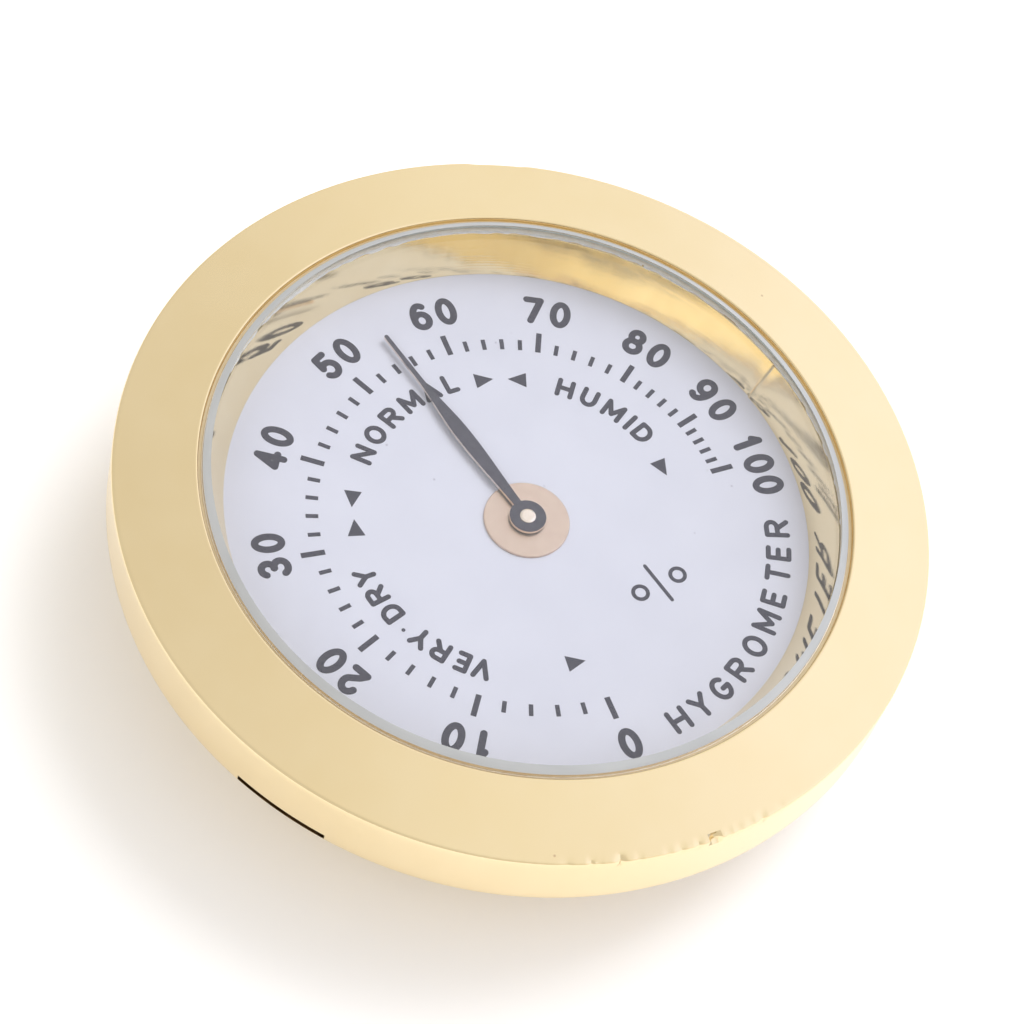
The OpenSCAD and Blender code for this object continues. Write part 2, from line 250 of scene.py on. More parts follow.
class Graph:
    """Short names for building a material's nodes."""

    def __init__(self, name, **shader):
        self.material = bpy.data.materials.new(name)
        self.material.use_nodes = True
        self.tree = self.material.node_tree
        self.shader = self.tree.nodes["Principled BSDF"]
        self.out = self.tree.nodes["Material Output"]
        for key, value in shader.items():
            self.shader.inputs[key.replace("_", " ")].default_value = value

    def node(self, kind, settings=None, **inputs):
        made = self.tree.nodes.new(kind)
        for key, value in (settings or {}).items():
            setattr(made, key, value)
        for key, value in inputs.items():
            self.feed(value, made.inputs[key.replace("_", " ")])
        return made

    def feed(self, value, socket):
        if isinstance(value, bpy.types.NodeSocket):
            self.tree.links.new(value, socket)
        else:
            socket.default_value = value

    def math(self, operation, a, b=0.0):
        made = self.tree.nodes.new("ShaderNodeMath")
        made.operation = operation
        self.feed(a, made.inputs[0])
        self.feed(b, made.inputs[1])
        return made.outputs[0]

    def place(self):
        """Position on the piece, in millimetres."""
        coordinates = self.node("ShaderNodeTexCoord").outputs["Object"]
        scale = self.node("ShaderNodeVectorMath", {"operation": "SCALE"})
        self.feed(coordinates, scale.inputs[0])
        scale.inputs["Scale"].default_value = 1 / MM
        return scale.outputs[0]

    def round_place(self, along=1.0, across=40.0, centre=(0, 0)):
        """Position drawn out round the axis, for turning marks: slow along the circle, quick across it."""
        moved = self.node("ShaderNodeVectorMath", {"operation": "ADD"})
        self.feed(self.place(), moved.inputs[0])
        moved.inputs[1].default_value = (-centre[0], -centre[1], 0)
        parts = self.node("ShaderNodeSeparateXYZ")
        self.feed(moved.outputs[0], parts.inputs[0])
        x, y, z = parts.outputs
        squares = self.math("ADD", self.math("MULTIPLY", x, x), self.math("MULTIPLY", y, y))
        radius = self.math("SQRT", squares)
        outwards = self.math("ADD", radius, self.math("MULTIPLY", z, 1.3))
        drawn = self.node("ShaderNodeCombineXYZ")
        self.feed(self.math("MULTIPLY", self.math("DIVIDE", x, radius), along), drawn.inputs[0])
        self.feed(self.math("MULTIPLY", self.math("DIVIDE", y, radius), along), drawn.inputs[1])
        self.feed(self.math("MULTIPLY", outwards, across), drawn.inputs[2])
        return drawn.outputs[0]

    def noise(self, vector, scale, detail=3.0, rough=0.5):
        made = self.node("ShaderNodeTexNoise", Vector=vector, Scale=scale, Detail=detail, Roughness=rough)
        return made.outputs["Fac"]

    def ramp(self, value, stops):
        """A colour or grey ramp from (position, colour) stops."""
        made = self.node("ShaderNodeValToRGB")
        self.feed(value, made.inputs[0])
        band = made.color_ramp
        while len(band.elements) < len(stops):
            band.elements.new(0.5)
        for element, (position, colour) in zip(band.elements, stops):
            element.position = position
            element.color = colour if len(colour) == 4 else (*colour, 1)
        return made.outputs["Color"]

    def range(self, value, low, high, to_low, to_high):
        made = self.node("ShaderNodeMapRange")
        self.feed(value, made.inputs["Value"])
        made.inputs["From Min"].default_value = low
        made.inputs["From Max"].default_value = high
        made.inputs["To Min"].default_value = to_low
        made.inputs["To Max"].default_value = to_high
        return made.outputs["Result"]

    def spotted(self, base, vector, scale, size, strength, colour):
        """A base colour with scattered pin specks. size is a share of the specks' spacing."""
        cells = self.node("ShaderNodeTexVoronoi", {"feature": "F1"}, Vector=vector, Scale=scale)
        dots = self.range(cells.outputs["Distance"], size * 0.4, size, strength, 0.0)
        mix = self.node("ShaderNodeMix", {"data_type": "RGBA"})
        self.feed(dots, mix.inputs[0])
        self.feed(base, mix.inputs[6])
        mix.inputs[7].default_value = colour
        return mix.outputs[2]

    def bump(self, height, strength, distance):
        made = self.node("ShaderNodeBump", Height=height)
        made.inputs["Strength"].default_value = strength
        made.inputs["Distance"].default_value = distance * MM
        self.feed(made.outputs[0], self.shader.inputs["Normal"])

    def set(self, **inputs):
        for key, value in inputs.items():
            self.feed(value, self.shader.inputs[key.replace("_", " ")])


def grey(value):
    return (value, value, value)


def metal(name, dark, light, rough, turning=0.0, across=30.0, mottle=0.6, centre=(0, 0), spots=0.0):
    """A metal with a slow colour change and uneven polish, and turning marks and pin specks if asked."""
    g = Graph(name, Metallic=1.0)
    place = g.place()
    tone = g.noise(place, mottle, 4.0, 0.55)
    specks = g.noise(place, 5.0, 5.0, 0.7)
    base = g.ramp(tone, [(0.3, dark), (0.7, light)])
    if spots:
        tarnish = (dark[0] * 0.6, dark[1] * 0.5, dark[2] * 0.5, 1)
        base = g.spotted(base, place, 0.42, spots, 0.6, tarnish)
    g.set(Base_Color=base)
    uneven = g.math("ADD", g.math("MULTIPLY", tone, 0.6), g.math("MULTIPLY", specks, 0.4))
    g.set(Roughness=g.range(uneven, 0.25, 0.75, rough * 0.8, rough * 1.25))
    if turning:
        marks = g.noise(g.round_place(1.6, across, centre), 1.0, 4.0, 0.6)
        g.bump(g.math("MULTIPLY", marks, turning), 1.0, 0.01)
    return g.material


# ------------------------------------------------------------------- materials

SATIN_GOLD = metal(
    "satin_gold", (0.875, 0.71, 0.425), (0.89, 0.73, 0.45), 0.22, turning=0.02, mottle=0.35, spots=0.035
)
LIP_GOLD = metal("lip_gold", (0.86, 0.68, 0.38), (0.92, 0.76, 0.46), 0.10)
# Painted shade: a darker gold for the groove's floor and inner wall, standing in for the shade that falls in
# the groove.
GROOVE_SHADE_GOLD = metal("groove_painted_shade", (0.70, 0.57, 0.36), (0.80, 0.67, 0.45), 0.45, mottle=1.5)
# Painted shade: a near-black brass for the walls of the pry slot, standing in for the shadow inside it.
SLOT_SHADE_BRASS = metal("slot_painted_shade", (0.07, 0.035, 0.012), (0.24, 0.13, 0.05), 0.55, mottle=1.6)
POLISHED_GOLD = metal(
    "polished_gold", (0.955, 0.785, 0.465), (0.985, 0.83, 0.515), 0.045, turning=0.06, across=14.0
)
CASE_GOLD = metal("case_gold", (0.78, 0.60, 0.30), (0.88, 0.71, 0.42), 0.26, turning=0.20, across=22.0)
ROSE_BRASS = metal(
    "rose_brass", (0.80, 0.61, 0.50), (0.90, 0.72, 0.60), 0.45,
    turning=0.35, across=30.0, mottle=1.2, centre=(DIAL_X, DIAL_Y),
)
PLATE_BRASS = metal(
    "plate_brass", (0.62, 0.46, 0.20), (0.80, 0.63, 0.33), 0.34, turning=0.10, across=10.0, mottle=0.8
)
STEEL = metal("steel", (0.48, 0.48, 0.50), (0.66, 0.66, 0.68), 0.28, turning=0.15, across=18.0, mottle=0.9)
CREAM_BRASS = metal("cream_brass", (0.92, 0.78, 0.67), (0.96, 0.85, 0.76), 0.24, mottle=3.0)


def glass_material(name, rough, body, shade):
    """Glass that lets the lamps' light through to what is behind it."""
    g = Graph(name, Transmission_Weight=1.0, Roughness=rough, IOR=1.52)
    g.shader.inputs["Base Color"].default_value = body
    clear = g.node("ShaderNodeBsdfTransparent")
    clear.inputs["Color"].default_value = shade
    path = g.node("ShaderNodeLightPath")
    mix = g.node("ShaderNodeMixShader")
    g.feed(path.outputs["Is Shadow Ray"], mix.inputs[0])
    g.feed(g.shader.outputs[0], mix.inputs[1])
    g.feed(clear.outputs[0], mix.inputs[2])
    g.feed(mix.outputs[0], g.out.inputs["Surface"])
    return g.material


def ground_glass(name, dark, light):
    """Ground glass, pale and dull."""
    g = Graph(name, Roughness=0.5, Specular_IOR_Level=0.0)
    tone = g.noise(g.round_place(2.0, 5.0), 1.0, 4.0, 0.6)
    g.set(Base_Color=g.ramp(tone, [(0.3, dark), (0.7, light)]))
    g.bump(g.noise(g.place(), 14.0, 3.0, 0.6), 0.4, 0.006)
    return g.material


def edge_material():
    """The glass's edge, dull, with a painted reflection of the gold of the bore behind it, kept bright as
    painted light where it sits in dim light inside the glass.
    """
    g = Graph("glass_edge", Roughness=0.38, Metallic=1.0)
    tone = g.noise(g.round_place(3.0, 6.0), 1.0, 4.0, 0.6)
    g.set(Base_Color=g.ramp(tone, [(0.3, (0.90, 0.80, 0.66)), (0.7, (0.99, 0.93, 0.82))]))
    return g.material


def adhesive_material():
    """Cured adhesive in cream with a random tone, made near white as painted light: it stands in for the
    light that reaches the film through the ground bevel.
    """
    g = Graph("adhesive", Roughness=0.42)
    tone = g.noise(g.place(), 2.2, 4.0, 0.6)
    g.set(Base_Color=g.ramp(tone, [(0.3, (0.93, 0.83, 0.68)), (0.7, (0.985, 0.94, 0.84))]))
    g.bump(g.noise(g.place(), 6.0, 3.0, 0.6), 0.5, 0.02)
    return g.material


def crust_material():
    """The squeezed-out rim of the adhesive: white and crumbly."""
    g = Graph("adhesive_crust", Roughness=0.6)
    tone = g.noise(g.place(), 4.0, 4.0, 0.6)
    g.set(Base_Color=g.ramp(tone, [(0.3, (0.95, 0.91, 0.87)), (0.7, (0.99, 0.98, 0.96))]))
    g.bump(g.noise(g.place(), 12.0, 3.0, 0.6), 0.6, 0.03)
    return g.material


def dial_material():
    """Smooth white enamel with a faint bluish cast, soft cloudiness and a few pin specks."""
    g = Graph("dial_white", Roughness=0.45, Specular_IOR_Level=0.35)
    place = g.place()
    cloud = g.noise(place, 0.35, 3.0, 0.5)
    base = g.ramp(cloud, [(0.3, (0.658, 0.66, 0.755)), (0.7, (0.69, 0.692, 0.787))])
    g.set(Base_Color=g.spotted(base, place, 0.55, 0.045, 0.5, (0.30, 0.28, 0.36, 1)))
    g.bump(g.noise(place, 9.0, 3.0, 0.6), 0.12, 0.004)
    return g.material


def print_material():
    """Grey ink, slightly uneven."""
    g = Graph("print_grey", Roughness=0.55, Specular_IOR_Level=0.3)
    tone = g.noise(g.place(), 6.0, 4.0, 0.6)
    g.set(Base_Color=g.ramp(tone, [(0.32, (0.026, 0.024, 0.042)), (0.72, (0.050, 0.047, 0.074))]))
    return g.material


def pointer_material():
    g = Graph("pointer_grey", Roughness=0.42, Specular_IOR_Level=0.4)
    tone = g.noise(g.place(), 2.5, 4.0, 0.6)
    g.set(Base_Color=g.ramp(tone, [(0.3, (0.042, 0.040, 0.060)), (0.7, (0.070, 0.067, 0.092))]))
    g.bump(g.noise(g.place(), 18.0, 3.0, 0.6), 0.25, 0.004)
    return g.material


def coil_material():
    """Matt strip: brassy metal with a treated paper look in patches."""
    g = Graph("coil_strip", Roughness=0.5, Metallic=0.7)
    tone = g.noise(g.place(), 1.4, 4.0, 0.6)
    g.set(Base_Color=g.ramp(tone, [(0.3, (0.44, 0.33, 0.18)), (0.7, (0.62, 0.50, 0.32))]))
    g.bump(g.noise(g.place(), 12.0, 3.0, 0.6), 0.3, 0.01)
    return g.material


GLASS = glass_material("window_glass", 0.0, (0.985, 0.992, 0.99, 1), (0.93, 0.94, 0.95, 1))
BEVEL_GLASS = ground_glass("bevelled_glass", (0.37, 0.378, 0.38), (0.445, 0.452, 0.452))
GROUND_EDGE = ground_glass("ground_glass", (0.56, 0.60, 0.56), (0.74, 0.77, 0.73))
GLASS_EDGE = edge_material()
ADHESIVE = adhesive_material()
CRUST = crust_material()
DIAL_WHITE = dial_material()
PRINT_GREY = print_material()
POINTER_GREY = pointer_material()
COIL_STRIP = coil_material()


def dress(obj, *materials):
    """Gives a mesh these materials and keeps which face has which slot."""
    polygons = obj.data.polygons
    slots = [polygon.material_index for polygon in polygons]
    obj.data.materials.clear()
    for material in materials:
        obj.data.materials.append(material)
    polygons.foreach_set("material_index", [slot if slot < len(materials) else 0 for slot in slots])


# ------------------------------------------------------------- camera and lamps


def place_camera():
    """A close camera over the object's left side, turned so that the dial's twelve o'clock leans left."""
    at = Vector((-75.964, -8.743, 112.880)) * MM
    ahead = Vector((0.56054, 0.06734, -0.82539))
    up = Vector((0.73831, 0.41080, 0.53492))
    right = ahead.cross(up).normalized()
    up = right.cross(ahead).normalized()
    turn = Matrix((right, up, -ahead)).transposed().to_4x4()
    data = bpy.data.cameras.new("camera")
    data.sensor_width = 36
    data.lens = 18 / math.tan(math.radians(19.37 / 2))
    data.clip_start = 0.005
    data.clip_end = 5
    camera = bpy.data.objects.new("camera", data)
    camera.matrix_world = Matrix.Translation(at) @ turn
    bpy.context.scene.collection.objects.link(camera)
    bpy.context.scene.camera = camera


def softbox(name, bearing, height, distance, width, depth, power, colour):
    """A rectangular lamp aimed at the object.

    Its bearing turns from +X towards +Y and its height is an angle above the floor, both in degrees.
    """
    data = bpy.data.lights.new(name, "AREA")
    data.shape = "RECTANGLE"
    data.size = width * MM
    data.size_y = depth * MM
    data.energy = power
    data.color = colour
    lamp = bpy.data.objects.new(name, data)
    a, e = math.radians(bearing), math.radians(height)
    way = Vector((math.cos(a) * math.cos(e), math.sin(a) * math.cos(e), math.sin(e)))
    lamp.location = way * distance * MM
    lamp.rotation_euler = way.to_track_quat("Z", "Y").to_euler()
    bpy.context.scene.collection.objects.link(lamp)
    return lamp


def light_scene():
    """A light tent that is brighter on the +X, -Y side, and two lamps that only light the dull parts."""
    scene = bpy.context.scene
    scene.view_settings.view_transform = "Standard"
    world = bpy.data.worlds.new("studio")
    scene.world = world
    world.use_nodes = True
    tree = world.node_tree
    background = tree.nodes["Background"]
    coordinates = tree.nodes.new("ShaderNodeTexCoord")
    toward = tree.nodes.new("ShaderNodeVectorMath")
    toward.operation = "DOT_PRODUCT"
    toward.inputs[1].default_value = Vector((0.45, -0.62, 0.20)).normalized()
    tree.links.new(coordinates.outputs["Generated"], toward.inputs[0])
    spread = tree.nodes.new("ShaderNodeMapRange")
    spread.inputs["From Min"].default_value = -1
    spread.inputs["From Max"].default_value = 1
    tree.links.new(toward.outputs["Value"], spread.inputs["Value"])
    ramp = tree.nodes.new("ShaderNodeValToRGB")
    stops = [
        (0.0, (0.575, 0.564, 0.548)), (0.5, (0.55, 0.536, 0.515)), (0.58, (0.60, 0.586, 0.562)),
        (0.62, (0.64, 0.625, 0.60)), (0.69, (0.735, 0.729, 0.72)), (0.763, (0.748, 0.75, 0.765)),
        (0.807, (0.79, 0.80, 0.87)), (0.84, (0.85, 0.87, 0.98)), (1.0, (0.86, 0.88, 1.0)),
    ]
    while len(ramp.color_ramp.elements) < len(stops):
        ramp.color_ramp.elements.new(0.5)
    for element, (position, colour) in zip(ramp.color_ramp.elements, stops):
        element.position = position
        element.color = (*colour, 1)
    tree.links.new(spread.outputs["Result"], ramp.inputs[0])
    tree.links.new(ramp.outputs["Color"], background.inputs["Color"])
    background.inputs["Strength"].default_value = 1.4
    lamps = (
        softbox("key", -25, 60, 500, 280, 280, 1.3, (1.0, 0.99, 0.98)),
        softbox("fill", 165, 50, 500, 320, 320, 0.6, (1.0, 0.99, 0.98)),
    )
    for lamp in lamps:
        lamp.visible_glossy = False
        lamp.visible_transmission = False


def lay_floor():
    size = 900
    corners = [(-size, -size, BACK_Z), (size, -size, BACK_Z), (size, size, BACK_Z), (-size, size, BACK_Z)]
    floor = mesh_object("floor", corners, [(0, 1, 2, 3)])
    g = Graph("floor_white", Roughness=0.8, Specular_IOR_Level=0.2)
    tone = g.noise(g.place(), 0.02, 3.0, 0.5)
    g.set(Base_Color=g.ramp(tone, [(0.3, grey(0.90)), (0.7, grey(0.93))]))
    dress(floor, g.material)


place_camera()
light_scene()
lay_floor()


# --------------------------------------------------------------- bezel and glass


def cut_slot(bezel):
    """The narrow pry slot in the side wall, just above the rear face."""
    work = bmesh.new()
    half = SLOT_WIDTH / 2
    outline = [(-SLOT_DEPTH, -half), (0.5, -half), (0.5, half), (-SLOT_DEPTH, half)]
    plate(work, outline, SLOT_LOW, SLOT_HIGH)
    place = Matrix.Rotation(math.radians(SLOT_ANGLE), 4, "Z") @ Matrix.Translation((BEZEL_R, 0, 0))
    bmesh.ops.transform(work, matrix=place, verts=work.verts)
    cutter = from_bmesh("slot_cutter", work)
    dress(cutter, SATIN_GOLD, LIP_GOLD, GROOVE_SHADE_GOLD, SLOT_SHADE_BRASS)
    # The cutter's faces, and so the slot's walls, take the near-black brass of painted shade.
    cutter.data.polygons.foreach_set("material_index", [3] * len(cutter.data.polygons))
    mod = bezel.modifiers.new("slot", "BOOLEAN")
    mod.operation = "DIFFERENCE"
    mod.object = cutter
    bpy.context.view_layer.update()
    evaluated = bezel.evaluated_get(bpy.context.evaluated_depsgraph_get())
    mesh = bpy.data.meshes.new_from_object(evaluated)
    bezel.modifiers.clear()
    mesh.set_sharp_from_angle(angle=math.radians(30))
    bezel.data = mesh
    bpy.data.objects.remove(cutter)


def worn(radius, z, angle):
    """Small nicks in the face's outer edge, with one deeper nick, and a fine scratch on the other side."""
    if radius < BEZEL_R - 0.3 or z < SIDE_H - 0.3:
        return radius, z
    turn = math.degrees(angle) % 360
    spot = Vector((math.cos(angle), math.sin(angle), 0)) * 60
    nicks = max(0.0, noise.noise(spot) - 0.05) * math.exp(-(((turn - 223) / 13) ** 2))
    nick = math.exp(-(((turn - 228.2) / 0.45) ** 2))
    scratch = smooth_step((turn - 22) / 2) * smooth_step((32 - turn) / 2)
    bite = 0.42 * nicks + 0.14 * nick + 0.035 * scratch
    return radius - bite, z - 0.7 * bite


def make_bezel():
    slope = (LIP_Z - SIDE_H) / (BEZEL_R - LIP_R)
    corners = [
        (RECESS_R, 0, 0.05, 0),
        (BEZEL_R, 0, 0.16, 0),
        (BEZEL_R, 0.5, 0, 0),
        (BEZEL_R, SIDE_H - 0.5, 0, 0),
        (BEZEL_R, SIDE_H - 0.35, 0, 0),
        (BEZEL_R, SIDE_H, 0.12, 0),
        (BEZEL_R - 0.35, SIDE_H + 0.35 * slope, 0, 0),
        (BEZEL_R - 0.5, SIDE_H + 0.5 * slope, 0, 0),
        (LIP_R, LIP_Z, 0.08, 1),
        # From here the groove's floor and inner wall take slot 2, the darker gold of painted shade.
        (LIP_R, GROOVE_Z, 0.04, 2),
        (OPENING_R, GROOVE_Z, 0.02, 2),
        (OPENING_R, SEAT_Z, 0, 0),
        (SEAT_R, SEAT_Z, 0.015, 0),
        (SEAT_R, SEAT_Z - 0.04, 0.015, 0),
        (LOWER_BORE_R, RING_HIGH + 0.02, 0, 0),
        (LOWER_BORE_R, RECESS_Z, 0.03, 0),
        (RECESS_R, RECESS_Z, 0.03, 0),
    ]
    bezel = turned("bezel", corners, True, 720, shape=worn)
    dress(bezel, SATIN_GOLD, LIP_GOLD, GROOVE_SHADE_GOLD, SLOT_SHADE_BRASS)
    cut_slot(bezel)
    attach(bezel, "case")
    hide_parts("bezel_ring")


def make_glass():
    corners = [
        (0, GLASS_LOW, 0, 0),
        (GLASS_R - 0.05, GLASS_LOW, 0, 1),
        (GLASS_R, GLASS_LOW + 0.05, 0, 2),
        (GLASS_R, GLASS_HIGH - BEVEL_H, 0, 3),
        (GLASS_R - BEVEL_W, GLASS_HIGH, 0, 0),
        (0, GLASS_HIGH, 0, 0),
    ]
    glass = turned("glass", corners, False, 360)
    glass.data.polygons.foreach_set("use_smooth", [False] * len(glass.data.polygons))
    dress(glass, GLASS, GROUND_EDGE, GLASS_EDGE, BEVEL_GLASS)
    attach(glass, "case")
    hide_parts("lens")


def make_bead():
    """A bead of adhesive in the gap between the glass and the bezel."""
    bead = flat_ring("glass_bead", GLASS_R + 0.005, OPENING_R - 0.003, GROOVE_Z - 0.21, GROOVE_Z - 0.01)
    dress(bead, ADHESIVE)
    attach(bead, "case")


def make_adhesive():
    """The adhesive between the seat and the glass, with a crumbly white rim that comes and goes."""
    segments = 900
    low, high = SEAT_Z + 0.003, GLASS_LOW - 0.004
    outer = GLASS_R - 0.02
    film_inner = SEAT_R + 0.07
    film = flat_ring("adhesive_film", film_inner, outer, low, high)
    dress(film, ADHESIVE)
    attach(film, "case")
    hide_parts("lens_adhesive")
    work = bmesh.new()
    stretch = []
    for i in range(segments + 1):
        angle = 2 * math.pi * i / segments
        spot = Vector((math.cos(angle), math.sin(angle), 0))
        slow = noise.noise(spot * 4.0 + Vector((3, 1, 0)))
        quick = noise.noise(spot * 26.0 + Vector((0, 4, 0)))
        fade = 0.5 + 0.5 * math.cos(angle - math.radians(25))
        width = 0.16 * fade - 0.07 + 0.07 * slow + 0.09 * quick
        if width > 0.012 and i < segments:
            stretch.append((angle, min(width, 0.15)))
            continue
        if len(stretch) > 3:
            crust_piece(work, stretch, film_inner, low, high)
        stretch = []
    crust = from_bmesh("adhesive_rim", work)
    dress(crust, CRUST)
    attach(crust, "case")


def crust_piece(work, stretch, outer, low, high):
    """One run of the crumbly rim, thin at both ends."""
    inner_side = [((outer - w) * math.cos(a), (outer - w) * math.sin(a)) for a, w in stretch]
    outer_side = [((outer - 0.001) * math.cos(a), (outer - 0.001) * math.sin(a)) for a, w in stretch]
    plate(work, outer_side + inner_side[::-1], low, high)


def make_reflector():
    """The mirror cone, a strip rolled round until its ends meet at a fine seam, and a little wavy."""

    def wavy(radius, z, angle):
        if radius > RING_HIGH_R + 0.1:
            return radius, z
        spot = Vector((math.cos(angle), math.sin(angle), z * 0.25))
        past_seam = math.degrees(angle) - RING_SEAM
        near = min(past_seam, 360 - past_seam)
        kink = 0.03 * math.exp(-((near / 1.4) ** 2)) * (1 if past_seam < 180 else -1)
        return radius + 0.006 * noise.noise(spot * 4.0) + 0.002 * noise.noise(spot * 13.0) + kink, z

    corners = [
        (RING_LOW_R, RING_LOW, 0.02, 0),
        (RING_R, RING_LOW, 0.03, 0),
        (RING_R, RING_HIGH, 0.03, 0),
        (RING_HIGH_R, RING_HIGH, 0.03, 0),
    ]
    gap = 0.004
    ring = turned("reflector", corners, True, 720, shape=wavy, arc=(RING_SEAM + gap, RING_SEAM + 360 - gap))
    dress(ring, POLISHED_GOLD)
    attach(ring, "case")
    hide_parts("reflector_ring")


make_bezel()
make_glass()
make_bead()
make_adhesive()
make_reflector()


# -------------------------------------------------------------------- the print

# The scale's marks in degrees clockwise from twelve o'clock, tens of percent from 0 to 100
SCALE_STEPS = [35, 31.5, 29, 28.5, 28.5, 27.5, 25.5, 25.5, 21, 17]
SCALE_START = -134.5
PRINT_T = 0.012


def clock(angle):
    """Degrees clockwise from twelve o'clock as radians anticlockwise from +X."""
    return math.radians(90 - angle)


def on_dial(radius, angle, spin=0.0):
    """A frame on the dial's face at a radius and clock angle, its +Y pointing outwards, then spun."""
    a = clock(angle)
    spot = Matrix.Translation((DIAL_X + radius * math.cos(a), DIAL_Y + radius * math.sin(a), 0))
    return spot @ Matrix.Rotation(a - math.pi / 2 + math.radians(spin), 4, "Z")


def scale_marks(work):
    """Long marks at the tens and four short ones between each two of them."""
    angle = SCALE_START
    for step in SCALE_STEPS:
        mark(work, angle, 9.44, 10.54, 0.26)
        for k in range(1, 5):
            mark(work, angle + step * k / 5, 9.45, 10.02, 0.20)
        angle += step
    mark(work, angle, 9.44, 10.54, 0.26)


def mark(work, angle, inner, outer, width):
    half = width / 2
    length = outer - inner
    outline = [(-half, 0), (half, 0), (half, length), (-half, length)]
    plate(work, outline, DIAL_Z, DIAL_Z + PRINT_T, on_dial(inner, angle))


def triangle(work, radius, angle, way, size=0.87):
    """A solid arrowhead that points clockwise (way 1) or anticlockwise (way -1)."""
    tip, back, half = way * size * 0.55, -way * size * 0.45, size * 0.46
    outline = [(tip, 0), (back, half), (back, -half)]
    if way < 0:
        outline.reverse()
    plate(work, outline, DIAL_Z, DIAL_Z + PRINT_T, on_dial(radius, angle))


def bow(x, y, half_width, half_height, start, stop, steps=18):
    """Points along part of an ellipse, in degrees."""
    angles = [math.radians(start + (stop - start) * i / steps) for i in range(steps + 1)]
    return [(x + half_width * math.cos(a), y + half_height * math.sin(a)) for a in angles]


# Each figure or letter as pen strokes in a box from (0, 0) to (1, 1), traced along the middle of the line
STROKES = {
    "0": [bow(0.5, 0.5, 0.5, 0.5, 0, 360, 40)],
    "1": [[(0.1, 0.74), (0.62, 1.0)], [(0.62, 1.0), (0.62, 0.0)]],
    "2": [bow(0.5, 0.70, 0.48, 0.30, 165, -38) + [(0.30, 0.24), (0.02, 0.0)], [(0.02, 0.0), (1.0, 0.0)]],
    "3": [bow(0.48, 0.75, 0.44, 0.25, 155, -85), bow(0.48, 0.26, 0.52, 0.26, 88, -155)],
    "4": [[(0.72, 0.0), (0.72, 1.0)], [(0.72, 1.0), (0.0, 0.26)], [(0.0, 0.26), (1.0, 0.26)]],
    "5": [
        [(0.92, 1.0), (0.22, 1.0)],
        [(0.22, 1.0), (0.10, 0.50)],
        [(0.10, 0.50)] + bow(0.48, 0.32, 0.52, 0.32, 122, -150),
    ],
    "6": [bow(0.5, 0.31, 0.5, 0.31, 0, 360, 36), bow(0.62, 0.33, 0.62, 0.68, 180, 62)],
    "7": [[(0.0, 1.0), (1.0, 1.0)], [(1.0, 1.0), (0.34, 0.0)]],
    "8": [bow(0.5, 0.76, 0.41, 0.24, 0, 360, 32), bow(0.5, 0.27, 0.5, 0.27, 0, 360, 32)],
    "9": [bow(0.5, 0.69, 0.5, 0.31, 0, 360, 36), bow(0.38, 0.67, 0.62, 0.68, 0, -118)],
    "A": [[(0.0, 0.0), (0.5, 1.0)], [(0.5, 1.0), (1.0, 0.0)], [(0.18, 0.32), (0.82, 0.32)]],
    "D": [[(0.0, 0.0), (0.0, 1.0)], [(0.0, 1.0)] + bow(0.42, 0.5, 0.58, 0.5, 90, -90) + [(0.0, 0.0)]],
    "E": [
        [(0.0, 0.0), (0.0, 1.0)],
        [(0.0, 1.0), (1.0, 1.0)],
        [(0.0, 0.52), (0.88, 0.52)],
        [(0.0, 0.0), (1.0, 0.0)],
    ],
    "G": [bow(0.5, 0.5, 0.5, 0.5, 48, 348, 30) + [(0.99, 0.46)], [(0.99, 0.46), (0.58, 0.46)]],
    "H": [[(0.0, 0.0), (0.0, 1.0)], [(1.0, 0.0), (1.0, 1.0)], [(0.0, 0.5), (1.0, 0.5)]],
    "I": [[(0.5, 0.0), (0.5, 1.0)]],
    "L": [[(0.0, 1.0), (0.0, 0.0)], [(0.0, 0.0), (1.0, 0.0)]],
    "M": [
        [(0.0, 0.0), (0.0, 1.0)],
        [(0.0, 1.0), (0.5, 0.22)],
        [(0.5, 0.22), (1.0, 1.0)],
        [(1.0, 1.0), (1.0, 0.0)],
    ],
    "N": [[(0.0, 0.0), (0.0, 1.0)], [(0.0, 1.0), (1.0, 0.0)], [(1.0, 0.0), (1.0, 1.0)]],
    "O": [bow(0.5, 0.5, 0.5, 0.5, 0, 360, 40)],
    "R": [
        [(0.0, 0.0), (0.0, 1.0)],
        [(0.0, 1.0)] + bow(0.58, 0.74, 0.40, 0.26, 90, -90) + [(0.0, 0.48)],
        [(0.50, 0.48), (1.0, 0.0)],
    ],
    "T": [[(0.0, 1.0), (1.0, 1.0)], [(0.5, 1.0), (0.5, 0.0)]],
    "U": [[(0.0, 1.0)] + bow(0.5, 0.42, 0.5, 0.42, 180, 360) + [(1.0, 1.0)]],
    "V": [[(0.0, 1.0), (0.5, 0.0)], [(0.5, 0.0), (1.0, 1.0)]],
    "Y": [[(0.0, 1.0), (0.5, 0.48)], [(1.0, 1.0), (0.5, 0.48)], [(0.5, 0.48), (0.5, 0.0)]],
}


